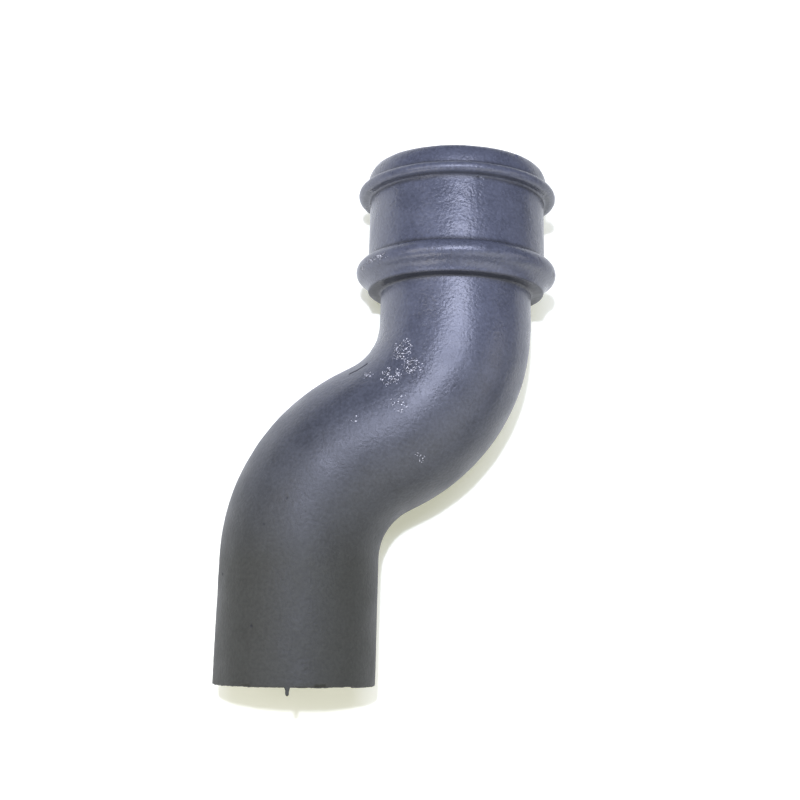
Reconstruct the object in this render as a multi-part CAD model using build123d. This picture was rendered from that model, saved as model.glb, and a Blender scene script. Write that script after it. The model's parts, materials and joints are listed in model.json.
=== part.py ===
from build123d import *
import math
import os

# A cast-iron downpipe offset, also called a swan neck, for a nominal 75 mm round rainwater pipe.
# It carries a downpipe sideways, round a plinth or a ledge or in from a gutter to the wall.
# It is one hollow casting. The plain spigot end goes down into the pipe below, two equal bends carry
# the pipe sideways, and the socket at the other end takes the pipe above. The socket has a bead near
# its mouth and a wider one near its foot.
#
# Sizes are in millimetres.
#
# The casting is drawn lying as it comes to rest on a floor, with both pipe axes along Y, the socket's
# mouth towards +Y and Z up. The beads are wider than the pipe, so the plane of the two bends leans a
# little when the beads and the spigot all touch the floor.
# The origin is on the floor, under the middle of the casting.

# Pipe
pipe_diameter = 79.0
pipe_wall = 4.2
spigot_length = 61.4
neck_length = 16.8
end_outer_round = 1.2
end_inner_round = 0.8

# Swan neck: two alike bends in one plane, with a short straight between them
projection = 76.0
bend_radius = 65.4
slope_length = 7.1

# Socket, which slips over the end of the pipe above
socket_gap = 2.5
socket_wall = 4.5
socket_depth = 59.4
seat_thickness = 7.8
neck_fillet = 1.0
foot_inset = 0.5
foot_round = 0.8

# Lip above the upper bead, which curves inwards to a narrow rim
lip_stand = 1.4
lip_curve_height = 8.5
rim_land = 0.4
mouth_round = 0.8

# Beads
bead_stand = 6.1
bead_fillet = 0.8
upper_bead_height = 5.9
upper_bead_centre = 53.0
lower_nose_radius = 5.5
lower_bead_centre = 10.6
lower_cove_radius = 9.0

pipe_radius = pipe_diameter / 2
bore_radius = pipe_radius - pipe_wall
socket_bore = pipe_radius + socket_gap
socket_radius = socket_bore + socket_wall
foot_radius = socket_radius - foot_inset
lip_radius = socket_radius + lip_stand
rim_radius = socket_bore + mouth_round + rim_land
bead_radius = socket_radius + bead_stand
socket_length = seat_thickness + socket_depth

# The turn of each bend follows from the projection, because two arcs and the slope between them add
# up to it: projection = 2 * bend_radius * (1 - cos(turn)) + slope_length * sin(turn).
reach = math.hypot(2 * bend_radius, slope_length)
turn = math.degrees(
    math.atan2(2 * bend_radius, slope_length) + math.asin((projection - 2 * bend_radius) / reach)
)

# Where the casting lies, the beads hold the socket's axis higher than the spigot's.
lean = math.degrees(math.asin((bead_radius - pipe_radius) / projection))

to_corner = (Align.MIN, Align.MIN)
to_wall = (Align.MIN, Align.CENTER)


def centreline():
    """The middle of the waterway, from the spigot's end to the socket's foot."""
    spigot = Line((0, 0), (0, spigot_length))
    lower_bend = JernArc(spigot @ 1, spigot % 1, bend_radius, -turn)
    slope = PolarLine(lower_bend @ 1, slope_length, direction=lower_bend % 1)
    upper_bend = JernArc(slope @ 1, slope % 1, bend_radius, turn)
    neck = Line(upper_bend @ 1, upper_bend @ 1 + Vector(0, neck_length))
    return Wire([spigot, lower_bend, slope, upper_bend, neck])


def round_run(radius, path):
    """A solid round rod along the path."""
    return sweep(Plane(path @ 0, z_dir=path % 0) * Circle(radius), path=path)


# The socket is turned about its own axis. Its half sections are drawn with the distance from the axis
# as X and the height above the foot as Y.


def crease_fillet(radius, height, fillet_radius, side):
    """Fills the corner above (side 1) or below (side -1) a shelf that juts from a wall."""
    block = Pos(radius, height + side * fillet_radius / 2) * Rectangle(
        fillet_radius, fillet_radius, align=to_wall
    )
    return block - Pos(radius + fillet_radius, height + side * fillet_radius) * Circle(fillet_radius)


def upper_bead_section():
    """A half-round bead on a short stem, with a fillet on either side."""
    nose = upper_bead_height / 2
    bead = Pos(bead_radius - nose, upper_bead_centre) * Circle(nose)
    bead += Pos(bore_radius, upper_bead_centre) * Rectangle(
        bead_radius - nose - bore_radius, upper_bead_height, align=to_wall
    )
    bead += crease_fillet(lip_radius, upper_bead_centre + nose, bead_fillet, 1)
    return bead + crease_fillet(socket_radius, upper_bead_centre - nose, bead_fillet, -1)


def lower_bead_section():
    """A round nose below the wall, which runs through a cove to the rounded corner of the socket's foot."""
    nose = Vector(bead_radius - lower_nose_radius, lower_bead_centre)
    corner = Vector(foot_radius, 0)
    # The cove touches the nose and runs out at the corner. Its centre is the third point of a triangle.
    to_nose = nose - corner
    apart = lower_nose_radius + lower_cove_radius
    swing = math.acos(
        (to_nose.length**2 + lower_cove_radius**2 - apart**2) / (2 * to_nose.length * lower_cove_radius)
    )
    aim = math.atan2(to_nose.Y, to_nose.X) - swing
    cove = corner + Vector(math.cos(aim), math.sin(aim)) * lower_cove_radius
    meet = math.degrees(math.atan2(nose.Y - cove.Y, cove.X - nose.X))
    crown = math.degrees(math.acos((socket_radius - nose.X) / lower_nose_radius))
    front = CenterArc(nose, lower_nose_radius, crown, -crown - meet)
    hollow = CenterArc(cove, lower_cove_radius, 180 - meet, meet + math.degrees(aim))
    crease = front @ 0
    wall_top = crease.Y + 2 * bead_fillet
    back = Polyline(corner, (bore_radius, 0), (bore_radius, wall_top), (socket_radius, wall_top), crease)
    bead = make_face([front, hollow, back])
    bead = fillet(bead.vertices().sort_by_distance(corner)[0], foot_round)
    return fillet(bead.vertices().sort_by_distance(crease)[0], bead_fillet)


def lip_section():
    """The top of the socket, straight above the upper bead and then curving in to the rim."""
    straight = socket_length - lip_curve_height - upper_bead_centre
    curve_width = lip_radius - rim_radius
    lip = Pos(0, upper_bead_centre) * Rectangle(lip_radius, straight, align=to_corner)
    lip += Pos(rim_radius, socket_length - lip_curve_height) * Ellipse(curve_width, lip_curve_height)
    return lip + Pos(0, upper_bead_centre) * Rectangle(
        rim_radius, socket_length - upper_bead_centre, align=to_corner
    )


def socket_section():
    """The socket's outside, from its foot to its rim, with the room inside still to cut."""
    wall = Pos(0, lower_bead_centre) * Rectangle(
        socket_radius, upper_bead_centre - lower_bead_centre, align=to_corner
    )
    return wall + lip_section() + upper_bead_section() + lower_bead_section()


def room_section():
    """The room inside the socket, from the seat up to the rounded edge of the mouth."""
    room = Pos(0, seat_thickness) * Rectangle(socket_bore, socket_depth, align=to_corner)
    return room + crease_fillet(socket_bore, socket_length, mouth_round, -1)


def turned(section, foot):
    return revolve(Pos(foot) * section, axis=Axis(foot, (0, 1, 0)))


def casting():
    path = centreline()
    foot = path @ 1
    solid = round_run(pipe_radius, path) + turned(socket_section(), foot)
    solid += turned(crease_fillet(pipe_radius, 0, neck_fillet, -1), foot)
    solid -= round_run(bore_radius, path)
    solid -= turned(room_section(), foot)
    solid -= turned(Rectangle(bore_radius, seat_thickness, align=to_corner), foot)
    return rounded(solid)


def rounded(solid):
    """Rounds both edges of the spigot's end."""
    outer = solid.edges().group_by(Axis.Y)[0].sort_by(SortBy.RADIUS)[-1]
    solid = fillet(outer, end_outer_round)
    inner = solid.edges().group_by(Axis.Y)[0].sort_by(SortBy.RADIUS)[0]
    return fillet(inner, end_inner_round)


def laid_down(solid):
    """Leans the swan neck until beads and spigot all touch the floor, and centres it over the origin."""
    across = projection * math.cos(math.radians(lean))
    middle = (bead_radius + across - pipe_radius) / 2
    length = (centreline() @ 1).Y + socket_length
    return Pos(-middle, -length / 2, pipe_radius) * Rot(Y=-lean) * solid


offset_casting = laid_down(casting())

os.makedirs("parts", exist_ok=True)
export_step(offset_casting, "parts/offset_casting.step")
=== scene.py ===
import json
import math

import bpy
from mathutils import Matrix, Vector


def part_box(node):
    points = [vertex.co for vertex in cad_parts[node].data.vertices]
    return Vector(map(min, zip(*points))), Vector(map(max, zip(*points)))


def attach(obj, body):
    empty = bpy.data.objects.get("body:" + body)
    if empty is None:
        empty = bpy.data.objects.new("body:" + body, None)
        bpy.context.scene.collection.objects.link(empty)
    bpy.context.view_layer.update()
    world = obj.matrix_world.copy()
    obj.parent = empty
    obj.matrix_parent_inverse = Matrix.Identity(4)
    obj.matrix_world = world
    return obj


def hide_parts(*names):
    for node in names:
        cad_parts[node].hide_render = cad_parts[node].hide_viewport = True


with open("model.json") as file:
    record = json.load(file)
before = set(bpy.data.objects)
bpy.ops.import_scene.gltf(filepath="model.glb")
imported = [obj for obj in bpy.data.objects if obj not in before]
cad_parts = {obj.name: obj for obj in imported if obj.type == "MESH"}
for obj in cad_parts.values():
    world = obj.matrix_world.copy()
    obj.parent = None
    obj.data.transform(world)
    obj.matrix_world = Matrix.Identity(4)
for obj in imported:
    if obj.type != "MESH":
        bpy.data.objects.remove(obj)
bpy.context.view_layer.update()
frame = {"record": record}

mm = 0.001
low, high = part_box("offset_casting")
mounts = {mount["name"]: mount for mount in frame["record"]["mounts"]}
spigotMount = mounts["spigot"]
socketMount = mounts["socket"]
spigotAxis = Vector(spigotMount["pos_m"])
socketAxis = Vector(socketMount["pos_m"])


def srgb(hexColour):  # a colour as picked on screen, turned to the linear values that shaders want
    channels = [int(hexColour[i:i + 2], 16) / 255 for i in (1, 3, 5)]
    return [c / 12.92 if c <= 0.04045 else ((c + 0.055) / 1.055) ** 2.4 for c in channels] + [1]


# The camera looks down from where the photo was taken
lens = {
    "place": (-64.43, -103.82, 665.55), "turn": (13.952, -9.547, 0.663),  # mm, degrees
    "focal": 55.106, "sensor": 36,  # mm
    "shiftX": -0.0835, "shiftY": -0.0991, "frame": 800,  # shares of the frame, px
}
bpy.ops.object.camera_add(location=[value * mm for value in lens["place"]],
                          rotation=[math.radians(value) for value in lens["turn"]])
camera = bpy.context.object
camera.data.sensor_width = lens["sensor"]
camera.data.lens = lens["focal"]
camera.data.shift_x = lens["shiftX"]
camera.data.shift_y = lens["shiftY"]
bpy.context.scene.camera = camera


def seenAt(piece, x, y):  # the place and normal on a piece that the frame's pixel x, y looks at
    width = camera.data.sensor_width / camera.data.lens
    sight = Vector(((x / lens["frame"] - 0.5 + lens["shiftX"]) * width,
                    (0.5 - y / lens["frame"] + lens["shiftY"]) * width, -1))
    sight.rotate(camera.rotation_euler)
    _, place, normal, _ = piece.ray_cast(camera.location, sight)
    return place, normal


# The casting. It is drawn flat, with the spigot's end at 0 and its axis along Y, and the two bends in
# the XY plane. Then it is laid down where the frame has it. All its sizes are in mm.
casting = {
    "ringVertices": 192,
    "ringStep": 1.7, "innerStep": 4.5, "roomStep": 3.0, "seatStep": 3.4,
    "stemStep": 1.2, "lipStep": 1.0, "endStep": 1.1,
    "filletSteps": 4, "coveSteps": 10, "noseSteps": 18, "upperNoseSteps": 14, "lipSteps": 12,
    "endInnerSteps": 3, "endOuterSteps": 5,
    "pipeRadius": spigotMount["dims"]["r_mm"],
    "pipeWall": 4.2,
    "endOuterRound": 1.2,
    "endInnerRound": 0.8,
    "bendRadius": 65.4,
    "slopeLength": 7.1,
    "neckLength": 16.8,
    "neckFillet": 1.0,
    "roomRadius": socketMount["dims"]["r_mm"],
    "socketWall": 4.5,
    "footInset": 0.5,
    "footRound": 0.8,
    "noseRadius": 5.5,
    "noseHeight": 10.6,
    "coveRadius": 9.0,
    "beadFillet": 0.8,
    "upperNoseRadius": 2.95,
    "upperBeadHeight": 53.0,
    "lipStand": 1.4,
    "lipCurve": 8.5,
    "rimLand": 0.4,
    "mouthRound": 0.8,
}
c = casting
c["boreRadius"] = c["pipeRadius"] - c["pipeWall"]
c["wallRadius"] = c["roomRadius"] + c["socketWall"]
c["beadRadius"] = (high.z - low.z) / 2 / mm  # both beads span the frame's height
c["lipRadius"] = c["wallRadius"] + c["lipStand"]
c["rimRadius"] = c["roomRadius"] + c["mouthRound"] + c["rimLand"]
c["straightEnd"] = (spigotAxis.y - low.y) / mm + spigotMount["dims"]["length_mm"] / 2
c["seat"] = (socketAxis.y - low.y) / mm - socketMount["dims"]["length_mm"] / 2
c["mouth"] = (high.y - low.y) / mm
across = (socketAxis - spigotAxis).xz
c["projection"] = across.length / mm
c["lean"] = math.atan2(across.y, across.x)
reach = math.hypot(2 * c["bendRadius"], c["slopeLength"])
c["turn"] = math.atan2(2 * c["bendRadius"], c["slopeLength"]) + math.asin(
    (c["projection"] - 2 * c["bendRadius"]) / reach)
rise = 2 * c["bendRadius"] * math.sin(c["turn"]) + c["slopeLength"] * math.cos(c["turn"])
c["bendTop"] = c["straightEnd"] + rise
c["foot"] = c["bendTop"] + c["neckLength"]

# The open ring that grows into the casting: its radius, its height along Y and its axis' X
ring = {"radius": c["pipeRadius"], "height": c["endOuterRound"], "axis": 0.0}


def ringTo(radius, height):  # extrudes the ring to a new height and scales it to a new radius
    rise = (height - ring["height"]) * mm
    factor = radius / ring["radius"]
    bpy.ops.mesh.extrude_region_move(TRANSFORM_OT_translate={"value": (0, rise, 0)})
    bpy.ops.transform.resize(value=(factor, factor, factor),
                             center_override=(ring["axis"] * mm, height * mm, 0))
    ring["radius"], ring["height"] = radius, height


def ringAlong(radius, height, step):  # the same in a row of even steps
    startRadius, startHeight = ring["radius"], ring["height"]
    wider, higher = radius - startRadius, height - startHeight
    count = max(1, round(math.hypot(wider, higher) / step))
    for i in range(1, count + 1):
        ringTo(startRadius + wider * i / count, startHeight + higher * i / count)


def ringRound(middle, radius, start, end, count, halfHeight=None):  # the same round an arc, in degrees
    for i in range(1, count + 1):
        angle = math.radians(start + (end - start) * i / count)
        ringTo(middle[0] + radius * math.cos(angle), middle[1] + (halfHeight or radius) * math.sin(angle))


def ringBend(middleX, middleY, angle, step):  # spins the ring about a bend's centre
    count = round(c["bendRadius"] * abs(angle) / step)
    bpy.ops.mesh.spin(steps=count, angle=angle, center=(middleX * mm, middleY * mm, 0), axis=(0, 0, 1))


def ringSlope(way, step):  # along the short straight between the bends
    count = round(c["slopeLength"] / step)
    length = way * c["slopeLength"] / count * mm
    for i in range(count):
        bpy.ops.mesh.extrude_region_move(
            TRANSFORM_OT_translate={"value": (length * math.sin(c["turn"]), length * math.cos(c["turn"]), 0)})


bpy.ops.object.select_all(action="DESELECT")
bpy.ops.mesh.primitive_circle_add(vertices=c["ringVertices"], radius=ring["radius"] * mm,
                                  location=(0, ring["height"] * mm, 0), rotation=(math.pi / 2, 0, 0))
offsetCasting = bpy.context.object
offsetCasting.name = "offsetCasting"
offsetCasting.data.name = "offsetCasting"
bpy.ops.object.transform_apply(location=True, rotation=True, scale=True)
bpy.ops.object.mode_set(mode="EDIT")
bpy.ops.mesh.select_all(action="SELECT")

# Outside, from the spigot to the socket's foot
ringAlong(c["pipeRadius"], c["straightEnd"], c["ringStep"])
ringBend(c["bendRadius"], c["straightEnd"], c["turn"], c["ringStep"])
ringSlope(1, c["ringStep"])
ringBend(c["projection"] - c["bendRadius"], c["bendTop"], -c["turn"], c["ringStep"])
ring.update(axis=c["projection"], height=c["bendTop"])
ringAlong(c["pipeRadius"], c["foot"] - c["neckFillet"], c["ringStep"])
ringRound((c["pipeRadius"] + c["neckFillet"], c["foot"] - c["neckFillet"]), c["neckFillet"], 180, 90,
          c["filletSteps"])

# The lower bead: the foot's rounded corner, the cove and the nose. The cove's centre is a corner of a
# triangle with the foot's corner and the nose's centre.
nose = Vector((c["beadRadius"] - c["noseRadius"], c["foot"] + c["noseHeight"]))
footCorner = Vector((c["wallRadius"] - c["footInset"], c["foot"]))
toNose = nose - footCorner
apart = c["noseRadius"] + c["coveRadius"]
swing = math.acos((toNose.length ** 2 + c["coveRadius"] ** 2 - apart ** 2)
                  / (2 * toNose.length * c["coveRadius"]))
aim = math.atan2(toNose.y, toNose.x) - swing
cove = footCorner + Vector((math.cos(aim), math.sin(aim))) * c["coveRadius"]
meet = math.atan2(nose.y - cove.y, cove.x - nose.x)
cornerHeight = c["foot"] + c["footRound"]
cornerAim = math.asin((cornerHeight - cove.y) / (c["coveRadius"] + c["footRound"]))
cornerMiddle = (cove.x - math.cos(cornerAim) * (c["coveRadius"] + c["footRound"]), cornerHeight)
aimDegrees, meetDegrees = math.degrees(cornerAim), math.degrees(meet)
ringAlong(cornerMiddle[0], c["foot"], c["ringStep"])
ringRound(cornerMiddle, c["footRound"], -90, -aimDegrees, c["filletSteps"])
ringRound(cove, c["coveRadius"], 180 - aimDegrees, 180 - meetDegrees, c["coveSteps"])
filletHeight = nose.y + math.sqrt((c["noseRadius"] + c["beadFillet"]) ** 2
                                  - (c["wallRadius"] + c["beadFillet"] - nose.x) ** 2)
crown = math.degrees(math.atan2(filletHeight - nose.y, c["wallRadius"] + c["beadFillet"] - nose.x))
ringRound(nose, c["noseRadius"], -meetDegrees, crown, c["noseSteps"])
ringRound((c["wallRadius"] + c["beadFillet"], filletHeight), c["beadFillet"], crown - 180, -180,
          c["filletSteps"])

# The wall, the upper bead and the lip that curves in to the rim
upper = (c["beadRadius"] - c["upperNoseRadius"], c["foot"] + c["upperBeadHeight"])
under = upper[1] - c["upperNoseRadius"] - c["beadFillet"]
over = upper[1] + c["upperNoseRadius"] + c["beadFillet"]
ringAlong(c["wallRadius"], under, c["ringStep"])
ringRound((c["wallRadius"] + c["beadFillet"], under), c["beadFillet"], 180, 90, c["filletSteps"])
ringAlong(upper[0], under + c["beadFillet"], c["stemStep"])
ringRound(upper, c["upperNoseRadius"], -90, 90, c["upperNoseSteps"])
ringRound((c["lipRadius"] + c["beadFillet"], over), c["beadFillet"], -90, -180, c["filletSteps"])
ringAlong(c["lipRadius"], c["mouth"] - c["lipCurve"], c["lipStep"])
ringRound((c["rimRadius"], c["mouth"] - c["lipCurve"]), c["lipRadius"] - c["rimRadius"], 0, 90,
          c["lipSteps"], halfHeight=c["lipCurve"])
ringTo(c["roomRadius"] + c["mouthRound"], c["mouth"])

# Inside, from the mouth down to the seat and back through both bends
ringRound((c["roomRadius"] + c["mouthRound"], c["mouth"] - c["mouthRound"]), c["mouthRound"], 90, 180,
          c["filletSteps"])
ringAlong(c["roomRadius"], c["seat"], c["roomStep"])
ringAlong(c["boreRadius"], c["seat"], c["seatStep"])
ringAlong(c["boreRadius"], c["bendTop"], c["innerStep"])
ringBend(c["projection"] - c["bendRadius"], c["bendTop"], c["turn"], c["innerStep"])
ringSlope(-1, c["innerStep"])
ringBend(c["bendRadius"], c["straightEnd"], -c["turn"], c["innerStep"])
ring.update(axis=0.0, height=c["straightEnd"])
ringAlong(c["boreRadius"], c["endInnerRound"], c["innerStep"])
ringRound((c["boreRadius"] + c["endInnerRound"], c["endInnerRound"]), c["endInnerRound"], 180, 270,
          c["endInnerSteps"])
ringAlong(c["pipeRadius"] - c["endOuterRound"], 0, c["endStep"])
ringRound((c["pipeRadius"] - c["endOuterRound"], c["endOuterRound"]), c["endOuterRound"], 270, 360,
          c["endOuterSteps"])
bpy.ops.mesh.select_all(action="SELECT")
bpy.ops.mesh.remove_doubles(threshold=0.01 * mm)  # the last ring meets the first
bpy.ops.mesh.normals_make_consistent(inside=False)
bpy.ops.object.mode_set(mode="OBJECT")

# Laid down: the bends lean until beads and spigot all touch the floor
offsetCasting.rotation_euler = (0, -c["lean"], 0)
offsetCasting.location = (spigotAxis.x, low.y, spigotAxis.z)
bpy.ops.object.transform_apply(location=True, rotation=True, scale=True)
print("casting:", len(offsetCasting.data.vertices), "vertices")

# Sand leaves the skin a little uneven: long soft waves with a finer ripple on them. All of it lies
# inside the drawn surface.
skin = {"waveSize": 16, "waveDepth": 0.4, "rippleSize": 3.5, "rippleDepth": 0.16, "detail": 2}  # mm


def roughen(name, size, depth, group="", direction="NORMAL"):  # presses noise into the skin and applies it
    clouds = bpy.data.textures.new(name, "CLOUDS")
    clouds.noise_scale = size * mm
    clouds.noise_depth = skin["detail"]
    bpy.ops.object.modifier_add(type="DISPLACE")
    press = offsetCasting.modifiers[-1]
    press.texture = clouds
    press.texture_coords = "LOCAL"
    press.direction = direction
    press.vertex_group = group
    press.mid_level = 1
    press.strength = depth * mm
    bpy.ops.object.modifier_apply(modifier=press.name)


roughen("waves", skin["waveSize"], skin["waveDepth"])
roughen("ripple", skin["rippleSize"], skin["rippleDepth"])
print("skin roughened")


def pickFaces(test):  # selects the faces whose middle and normal pass the test, in edit mode
    bpy.ops.object.mode_set(mode="EDIT")
    bpy.ops.mesh.select_mode(type="FACE")
    bpy.ops.mesh.select_all(action="DESELECT")
    bpy.ops.object.mode_set(mode="OBJECT")
    for face in offsetCasting.data.polygons:
        face.select = test(face.center, face.normal)
    bpy.ops.object.mode_set(mode="EDIT")


def pickPoints(test):  # the same for vertices
    bpy.ops.object.mode_set(mode="EDIT")
    bpy.ops.mesh.select_mode(type="VERT")
    bpy.ops.mesh.select_all(action="DESELECT")
    bpy.ops.object.mode_set(mode="OBJECT")
    for point in offsetCasting.data.vertices:
        point.select = test(point.co)
    bpy.ops.object.mode_set(mode="EDIT")


# A slightly rougher field on the socket's wall
pad = {
    "turn": -12.6, "halfTurn": 17.5, "low": 84.0, "high": 113.0,  # degrees about the socket, mm along Y
    "skinDepth": 2.0, "cuts": 2, "stippleSize": 1.0, "stippleDepth": 0.12,  # mm
}


def onPad(place):
    around = math.degrees(math.atan2(place.x - socketAxis.x, place.z - socketAxis.z)) - pad["turn"]
    outside = (place - socketAxis).xz.length > (c["wallRadius"] - pad["skinDepth"]) * mm
    return outside and abs(around) < pad["halfTurn"] and pad["low"] < place.y / mm < pad["high"]


pickFaces(lambda place, normal: onPad(place))
bpy.ops.mesh.subdivide(number_cuts=pad["cuts"])
bpy.ops.object.vertex_group_add()
offsetCasting.vertex_groups.active.name = "padFace"
bpy.ops.object.vertex_group_assign()
bpy.ops.object.mode_set(mode="OBJECT")
roughen("stipple", pad["stippleSize"], pad["stippleDepth"], group="padFace")
print("pad stippled")

# Pin holes, nicks and a short seam, each at the places that the photo's pixels look at. The last numbers
# are the width and depth in mm, and a minus depth stands proud.
marks = {
    "pinHole1": (((223, 574),), 1.3, 0.5),
    "pinHole2": (((251.5, 625.7),), 1.5, 0.5),
    "pinHole3": (((286.7, 498),), 1.3, 0.35),
    "pinHole4": (((264, 524),), 1.1, 0.35),
    "nickUnderBead": (((478, 177),), 1.4, 0.5),
    "rimBump": (((517, 156),), 2.2, -0.6),
    "seam": (((350, 374), (367, 364)), 1.6, 0.3),
}
dent = {"cuts": 3, "facing": 0.3, "core": 0.35}  # how fine, how square on, and the share pressed whole


def fromLine(point, start, finish):  # distance from a point to the line between two places
    along = finish - start
    share = (point - start).dot(along) / along.length_squared if along.length else 0
    return (point - start - along * max(0, min(1, share))).length


def dimple(ends, width, depth):  # cuts the skin finer round a place or a line and presses it in or out
    start, normal = seenAt(offsetCasting, *ends[0])
    finish = seenAt(offsetCasting, *ends[-1])[0]
    pickFaces(lambda middle, facing: fromLine(middle, start, finish) < width * mm
              and facing.dot(normal) > dent["facing"])
    bpy.ops.mesh.subdivide(number_cuts=dent["cuts"])
    reach = width / 2 * mm
    pickPoints(lambda point: fromLine(point, start, finish) < reach * dent["core"])
    bpy.ops.transform.translate(value=-normal * depth * mm, use_proportional_edit=True,
                                proportional_edit_falloff="SMOOTH", proportional_size=reach)
    bpy.ops.object.mode_set(mode="OBJECT")


for ends, width, depth in marks.values():
    dimple(ends, width, depth)
print("marks made")

# The spigot's end is as cast: a ragged rim, a burr along one side and a drip of primer that set as it hung
end = {
    "raggedRim": 0.9, "raggedSize": 1.9, "raggedDepth": 0.9,  # mm
    "burrFrom": 46, "burrTo": 100, "burrRim": 0.8, "burrStand": 0.6, "burrFade": 1.6,  # degrees, mm
    "dripTurn": -6.2, "dripWidth": 3.4, "dripRoom": 4.08, "dripCuts": 2, "rootHeight": 0.2,  # degrees, mm
    "drip": ((0.5, 0.75), (0.7, 0.8), (0.8, 0.98), (0.7, 1.05), (0.4, 0.8), (0.2, 0.5)),  # mm, and scale
    "smoothBelow": 0.7, "smoothTurn": 4, "smooth": 0.5, "smoothTimes": 3,  # mm, degrees, share, count
    "facing": -0.1,  # the most that a face's normal has along Y, so only faces that look down the spigot
}


def endTurn(place):  # how far round the spigot a place is, in degrees from straight up
    return math.degrees(math.atan2(place.x - spigotAxis.x, place.z - spigotAxis.z))


pickPoints(lambda point: point.y < low.y + end["raggedRim"] * mm)
bpy.ops.object.vertex_group_add()
offsetCasting.vertex_groups.active.name = "endRim"
bpy.ops.object.vertex_group_assign()
bpy.ops.object.mode_set(mode="OBJECT")
roughen("ragged", end["raggedSize"], -end["raggedDepth"], group="endRim", direction="Y")
pickPoints(lambda point: point.y < low.y + end["burrRim"] * mm
           and end["burrFrom"] < endTurn(point) < end["burrTo"])
bpy.ops.transform.translate(value=(0, -end["burrStand"] * mm, 0), use_proportional_edit=True,
                            proportional_edit_falloff="SMOOTH", proportional_size=end["burrFade"] * mm)
dripTurn = math.radians(end["dripTurn"])
rootRadius = (c["pipeRadius"] - c["endOuterRound"] / 2) * mm
root = Vector((spigotAxis.x + rootRadius * math.sin(dripTurn), low.y + end["rootHeight"] * mm,
               spigotAxis.z + rootRadius * math.cos(dripTurn)))
pickFaces(lambda middle, normal: (middle - root).length < end["dripRoom"] / 2 * mm
          and normal.y < end["facing"])
bpy.ops.mesh.subdivide(number_cuts=end["dripCuts"])
pickFaces(lambda middle, normal: (middle - root).length < end["dripWidth"] / 2 * mm
          and normal.y < end["facing"])
for down, scale in end["drip"]:
    root.y -= down * mm
    bpy.ops.mesh.extrude_region_move(TRANSFORM_OT_translate={"value": (0, -down * mm, 0)})
    bpy.ops.transform.resize(value=(scale, scale, scale), center_override=root)
pickPoints(lambda point: point.y < low.y - end["smoothBelow"] * mm
           and abs(endTurn(point) - end["dripTurn"]) < end["smoothTurn"])
bpy.ops.mesh.vertices_smooth(factor=end["smooth"], repeat=end["smoothTimes"])
print("spigot's end finished")

bpy.ops.object.mode_set(mode="OBJECT")
bpy.ops.object.shade_smooth()
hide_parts("offset_casting")
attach(offsetCasting, "root")


def addNode(tree, kind, settings=None, links=None):  # one node, its settings, and what feeds its sockets
    node = tree.nodes.new(kind)
    for name, value in {**(settings or {}), **(links or {})}.items():
        if isinstance(value, bpy.types.Node):
            value = value.outputs[0]
        if isinstance(value, bpy.types.NodeSocket):
            tree.links.new(value, node.inputs[name])
        elif isinstance(name, int) or name in node.inputs:
            node.inputs[name].default_value = value
        else:
            setattr(node, name, value)
    return node


# Where the skin is worn, and where painted shade with some grime darkens the creases, the pits and the foot's
# underside, kept as two values at each vertex
wearAndShade = {
    "speckles": (((402, 350), 6.5, 1.0), ((411, 366), 5.0, 1.0), ((391, 376), 6.0, 1.0),  # px, mm, amount
                 ((367, 375), 3.0, 0.8), ((400, 405), 5.5, 0.4), ((355, 418), 3.0, 0.3),
                 ((420, 457), 4.0, 0.5)),
    "chips": (((361, 268), (364, 266), 1.4, 1.6), ((367, 262), (386, 254), 1.6, 1.9),  # px, px, mm, amount
              ((554, 274), (554, 277), 1.3, 1.6)),
    "fade": 0.5,  # share of a patch's reach over which it fades out
    "creaseWidth": 1.3, "creaseAmount": 0.85, "footAmount": 0.65,
    "pitWidth": 0.9, "pitAmount": 1.8,  # mm, and amount for each mm of depth
}
worn = [0.0] * len(offsetCasting.data.vertices)
grime = [0.0] * len(offsetCasting.data.vertices)


def spread(values, start, finish, reach, amount):  # adds a soft patch round a place or along a line
    for i, point in enumerate(offsetCasting.data.vertices):
        share = 1 - fromLine(point.co, start, finish) / reach
        if share > 0:
            values[i] = max(values[i], amount * min(1, share / wearAndShade["fade"]))


for (x, y), size, amount in wearAndShade["speckles"]:
    place = seenAt(offsetCasting, x, y)[0]
    spread(worn, place, place, size * mm, amount)
for first, last, size, amount in wearAndShade["chips"]:
    spread(worn, seenAt(offsetCasting, *first)[0], seenAt(offsetCasting, *last)[0], size * mm, amount)
# Painted shade in the pits, nicks and seam: a dark value is spread along each one that is pressed in
for ends, _, depth in marks.values():
    if depth > 0:
        start, finish = (seenAt(offsetCasting, *spot)[0] for spot in (ends[0], ends[-1]))
        spread(grime, start, finish, wearAndShade["pitWidth"] * mm, min(1, depth * wearAndShade["pitAmount"]))
# Painted shade with some grime: the creases and the foot's underside are darkened where shade falls in them
creases = ((c["wallRadius"], filletHeight), (c["wallRadius"], under), (c["lipRadius"], over),
           (c["pipeRadius"], c["foot"]))
for i, point in enumerate(offsetCasting.data.vertices):
    fromAxis = (point.co - socketAxis).xz.length / mm
    fromEnd = (point.co.y - low.y) / mm
    nearest = min(math.hypot(fromAxis - radius, fromEnd - height) for radius, height in creases)
    grime[i] = max(grime[i], wearAndShade["creaseAmount"] * (1 - nearest / wearAndShade["creaseWidth"]))
    underFoot = c["pipeRadius"] < fromAxis < footCorner.x and abs(fromEnd - c["foot"]) < c["footRound"]
    if underFoot:
        grime[i] = max(grime[i], wearAndShade["footAmount"])
for name, values in (("worn", worn), ("grime", grime)):
    offsetCasting.data.attributes.new(name, "FLOAT", "POINT").data.foreach_set("value", values)
print("wear placed")
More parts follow.
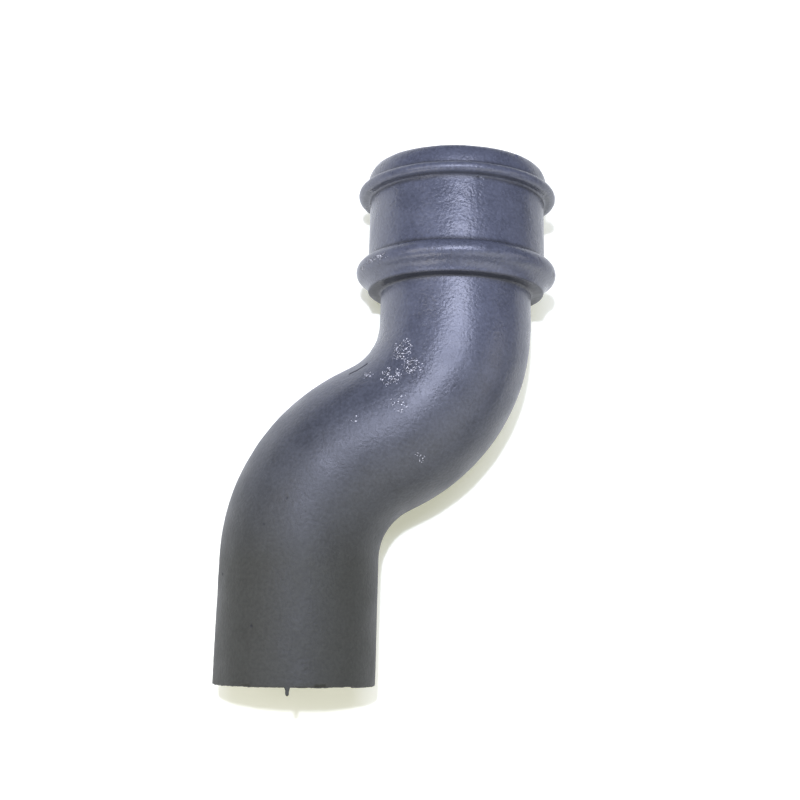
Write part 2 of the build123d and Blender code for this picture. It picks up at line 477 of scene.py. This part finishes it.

# Sand-cast grey iron under a satin slate-grey primer. The primer fills most of the sand's grain, so the
# eye gets a broad, slightly broken sheen. The colour runs from a darker olive on the spigot to a lighter,
# bluer slate on the socket, and pale iron shows in specks where it is rubbed through. The creases, pits
# and the foot's underside are darkened with painted shade and some grime, and the grain's hollows with
# painted shade.
primer = {
    "slate": "#484b56", "olive": "#2f302b", "dark": "#1e1f21", "chip": "#cfcfd3",
    "toneFrom": -75, "toneTo": 40,  # mm along Y, from olive to slate
    "noises": {"mottle": (14, 4), "grain": (1.5, 3), "fine": (0.8, 2),  # mm across, and detail
               "wornBreak": (2.6, 3), "chipBend": (0.8, 2)},
    "noiseFrom": 0.3, "noiseTo": 0.7,  # between these lies nearly all of a noise
    "mottleTone": 0.12, "grainTone": 0.2,  # share of the colour, up and down; the grain's share is partly its own tone and partly painted shade
    "grainDepth": 0.22, "fineDepth": 0.05, "chipDepth": 0.05,  # mm
    "gloss": 0.65, "roughness": 0.29, "roughSpigot": 0.6, "roughMottle": 0.07, "roughWorn": 0.2,
    "wornFrom": 0.4, "wornTo": 0.55, "wornLeast": 0.1, "wornMost": 1.1,  # how noise breaks up a worn place
    "darkFrom": 0.2, "wornDark": 0.5,
    "chipSize": 0.8, "chipBend": 2.2, "chipShare": 0.85,  # mm, mm, share of the cells
    "chipCore": 0.28, "chipEdge": 0.45,  # share of a cell
}
paint = bpy.data.materials.new("primerPaintedSandCastIron")
paint.use_nodes = True
tree = paint.node_tree
tree.nodes.clear()
coords = addNode(tree, "ShaderNodeTexCoord").outputs["Object"]
noise = {}
for name, (size, detail) in primer["noises"].items():
    noise[name] = addNode(tree, "ShaderNodeTexNoise", {"Scale": 1 / (size * mm), "Detail": detail},
                          {"Vector": coords})

# Where the primer is worn, with its edge broken up, and where painted shade with some grime darkens it
wornPatch = addNode(tree, "ShaderNodeAttribute", {"attribute_name": "worn"})
shadeAndGrimePatch = addNode(tree, "ShaderNodeAttribute", {"attribute_name": "grime"})
wornBreak = addNode(tree, "ShaderNodeMapRange", {"From Min": primer["wornFrom"], "From Max": primer["wornTo"],
                    "To Min": primer["wornLeast"], "To Max": primer["wornMost"]},
                    {"Value": noise["wornBreak"]})
wornAt = addNode(tree, "ShaderNodeMath", {"operation": "MULTIPLY"},
                 {0: wornPatch.outputs["Fac"], 1: wornBreak})
shadeAndGrimeAt = shadeAndGrimePatch.outputs["Fac"]

# Colour: olive to slate along the pipe, made uneven by the mottle and the grain (with painted shade in the
# grain's hollows), dark where worn, and darkened with painted shade and some grime in the creases, pits and
# under the foot
# The colour goes from the darker olive at the spigot to the lighter, bluer slate on the socket, along Y
along = addNode(tree, "ShaderNodeSeparateXYZ", links={"Vector": coords})
tone = addNode(tree, "ShaderNodeMapRange", {"From Min": primer["toneFrom"] * mm,
               "From Max": primer["toneTo"] * mm}, {"Value": along.outputs["Y"]})
coat = addNode(tree, "ShaderNodeMix", {"data_type": "RGBA", 6: srgb(primer["olive"]),
               7: srgb(primer["slate"])}, {0: tone})
mottled = addNode(tree, "ShaderNodeMapRange", {"From Min": primer["noiseFrom"], "From Max": primer["noiseTo"],
                  "To Min": 1 - primer["mottleTone"], "To Max": 1 + primer["mottleTone"]},
                  {"Value": noise["mottle"]})
# Partly the grain's own uneven tone and partly painted shade: the same noise as the grain's relief, so the
# hollows are painted darker and the tops lighter
grainToneAndShade = addNode(tree, "ShaderNodeMapRange", {"From Min": primer["noiseFrom"], "From Max": primer["noiseTo"],
                  "To Min": -primer["grainTone"], "To Max": primer["grainTone"]}, {"Value": noise["grain"]})
level = addNode(tree, "ShaderNodeMath", {"operation": "ADD"}, {0: mottled, 1: grainToneAndShade})
levelGrey = addNode(tree, "ShaderNodeCombineColor", links={0: level, 1: level, 2: level})
uneven = addNode(tree, "ShaderNodeMix", {"data_type": "RGBA", "blend_type": "MULTIPLY", 0: 1},
                 {6: coat.outputs[2], 7: levelGrey})
wornShade = addNode(tree, "ShaderNodeMapRange", {"From Min": primer["darkFrom"],
                    "To Max": primer["wornDark"]}, {"Value": wornAt})
dulled = addNode(tree, "ShaderNodeMix", {"data_type": "RGBA", 7: srgb(primer["dark"])},
                 {0: wornShade, 6: uneven.outputs[2]})
# Painted shade with some grime: the creases, pits and foot's underside are mixed towards the dark colour
shadedAndGrimy = addNode(tree, "ShaderNodeMix", {"data_type": "RGBA", 7: srgb(primer["dark"])},
                {0: shadeAndGrimeAt, 6: dulled.outputs[2]})

# Chips: small cells bent by noise, of which the worn places hold the most
bent = addNode(tree, "ShaderNodeVectorMath", {"operation": "MULTIPLY_ADD", 1: [primer["chipBend"] * mm] * 3},
               {0: noise["chipBend"].outputs["Color"], 2: coords})
cells = addNode(tree, "ShaderNodeTexVoronoi", {"Scale": 1 / (primer["chipSize"] * mm)}, {"Vector": bent})
chance = addNode(tree, "ShaderNodeSeparateColor", links={"Color": cells.outputs["Color"]})
chipped = addNode(tree, "ShaderNodeMath", {"operation": "MULTIPLY", 1: primer["chipShare"]}, {0: wornAt})
held = addNode(tree, "ShaderNodeMath", {"operation": "LESS_THAN"}, {0: chance.outputs["Red"], 1: chipped})
fleck = addNode(tree, "ShaderNodeMapRange", {"From Min": primer["chipCore"], "From Max": primer["chipEdge"],
                "To Min": 1, "To Max": 0}, {"Value": cells.outputs["Distance"]})
chips = addNode(tree, "ShaderNodeMath", {"operation": "MULTIPLY"}, {0: held, 1: fleck})
colour = addNode(tree, "ShaderNodeMix", {"data_type": "RGBA", 7: srgb(primer["chip"])},
                 {0: chips, 6: shadedAndGrimy.outputs[2]})

# Roughness: duller on the spigot, where worn, and in the shaded, grimy creases and pits, and a little uneven
# with the mottle
roughMottle = addNode(tree, "ShaderNodeMapRange", {"From Min": primer["noiseFrom"],
                      "From Max": primer["noiseTo"], "To Min": -primer["roughMottle"],
                      "To Max": primer["roughMottle"]}, {"Value": noise["mottle"]})
roughCoat = addNode(tree, "ShaderNodeMapRange", {"To Min": primer["roughSpigot"],
                    "To Max": primer["roughness"]}, {"Value": tone})
roughSum = addNode(tree, "ShaderNodeMath", {"operation": "ADD"}, {0: roughCoat, 1: roughMottle})
touched = addNode(tree, "ShaderNodeMath", {"operation": "MAXIMUM"}, {0: wornAt, 1: shadeAndGrimeAt})
rough = addNode(tree, "ShaderNodeMath", {"operation": "MULTIPLY_ADD", 1: primer["roughWorn"]},
                {0: touched, 2: roughSum})

# Relief: the sand's grain under the coat, a finer grain on it, and the chips standing a little proud
relief = addNode(tree, "ShaderNodeMath", {"operation": "MULTIPLY", 1: primer["fineDepth"]},
                 {0: noise["fine"]})
for layer, depth in ((noise["grain"], primer["grainDepth"]), (chips, primer["chipDepth"])):
    relief = addNode(tree, "ShaderNodeMath", {"operation": "MULTIPLY_ADD", 1: depth}, {0: layer, 2: relief})
bump = addNode(tree, "ShaderNodeBump", {"Strength": 1, "Distance": mm}, {"Height": relief})
shader = addNode(tree, "ShaderNodeBsdfPrincipled", {"Specular IOR Level": primer["gloss"]},
                 {"Base Color": colour.outputs[2], "Roughness": rough, "Normal": bump})
addNode(tree, "ShaderNodeOutputMaterial", links={"Surface": shader})
offsetCasting.data.materials.append(paint)
print("paint made")

# Floor, backdrop and lamps
studio = {
    "floorSize": 1.7, "floor": "#edede8",  # m
    "floorTint": "#fbfdd2", "floorSeen": 0.27, "floorMirrored": 0.18,  # glow that camera and gloss see
    "world": ("#e2e3e8", 0.13), "backdrop": ("#ffffff", 1),  # what lights the casting, what the camera sees
    "lamps": {  # place, width and depth in metres, watts, colour, and whether the gloss shows it
        "softBox": ((-0.05, 0.11, 0.6), 0.4, 0.26, 3.2, "#dee3ff", True),
        "topLamp": ((-0.128, 0.04, 0.94), 0.03, 0.03, 6.3, "#e6ebff", False),
        "leftFill": ((-0.7, -0.05, 0.65), 0.4, 0.4, 1.8, "#fffaf2", True),
        "rightFill": ((0.8, -0.05, 0.5), 0.4, 0.4, 0.7, "#fffaf2", True),
        "frontFill": ((0.38, -0.6, 0.62), 0.9, 0.7, 3.0, "#fbfbf6", True),
        "leftFrontFill": ((-0.5, -0.85, 0.35), 0.4, 0.4, 2.3, "#fffaf2", True),
    },
    "aim": (0, 0.02, 0.05),
}
bpy.ops.object.select_all(action="DESELECT")
bpy.ops.mesh.primitive_plane_add(size=studio["floorSize"], location=(0, 0, 0))
floor = bpy.context.object
floor.name = "floor"
floorPaint = bpy.data.materials.new("paleMattFloor")  # plain and pale, white but for the shadows
floorPaint.use_nodes = True
floorTree = floorPaint.node_tree
floorTree.nodes.clear()
matt = addNode(floorTree, "ShaderNodeBsdfDiffuse", {"Color": srgb(studio["floor"])})
ray = addNode(floorTree, "ShaderNodeLightPath")
seen = addNode(floorTree, "ShaderNodeMath", {"operation": "MULTIPLY", 1: studio["floorSeen"]},
               {0: ray.outputs["Is Camera Ray"]})
mirrored = addNode(floorTree, "ShaderNodeMath", {"operation": "MULTIPLY_ADD", 1: studio["floorMirrored"]},
                   {0: ray.outputs["Is Glossy Ray"], 2: seen})
glow = addNode(floorTree, "ShaderNodeEmission", {"Color": srgb(studio["floorTint"])}, {"Strength": mirrored})
both = addNode(floorTree, "ShaderNodeAddShader", links={0: matt, 1: glow})
addNode(floorTree, "ShaderNodeOutputMaterial", links={"Surface": both})
floor.data.materials.append(floorPaint)

world = bpy.data.worlds.new("studio")
bpy.context.scene.world = world
world.use_nodes = True
worldTree = world.node_tree
worldTree.nodes.clear()
skies = [addNode(worldTree, "ShaderNodeBackground", {"Color": srgb(tint), "Strength": strength})
         for tint, strength in (studio["world"], studio["backdrop"])]
looked = addNode(worldTree, "ShaderNodeLightPath").outputs["Is Camera Ray"]
sky = addNode(worldTree, "ShaderNodeMixShader", links={0: looked, 1: skies[0], 2: skies[1]})
addNode(worldTree, "ShaderNodeOutputWorld", links={"Surface": sky})

for name, (place, width, depth, watts, tint, inGloss) in studio["lamps"].items():
    bpy.ops.object.light_add(type="AREA", location=place)
    lamp = bpy.context.object
    lamp.name = name
    lamp.data.shape = "RECTANGLE"
    lamp.data.size = width
    lamp.data.size_y = depth
    lamp.data.energy = watts
    lamp.data.color = srgb(tint)[:3]
    sight = Vector(studio["aim"]) - Vector(place)
    lamp.rotation_euler = sight.to_track_quat("-Z", "Y").to_euler()
    lamp.visible_camera = False
    lamp.visible_glossy = inGloss

bpy.context.scene.view_settings.view_transform = "Standard"
print("triangles:", sum(len(face.vertices) - 2 for face in offsetCasting.data.polygons))
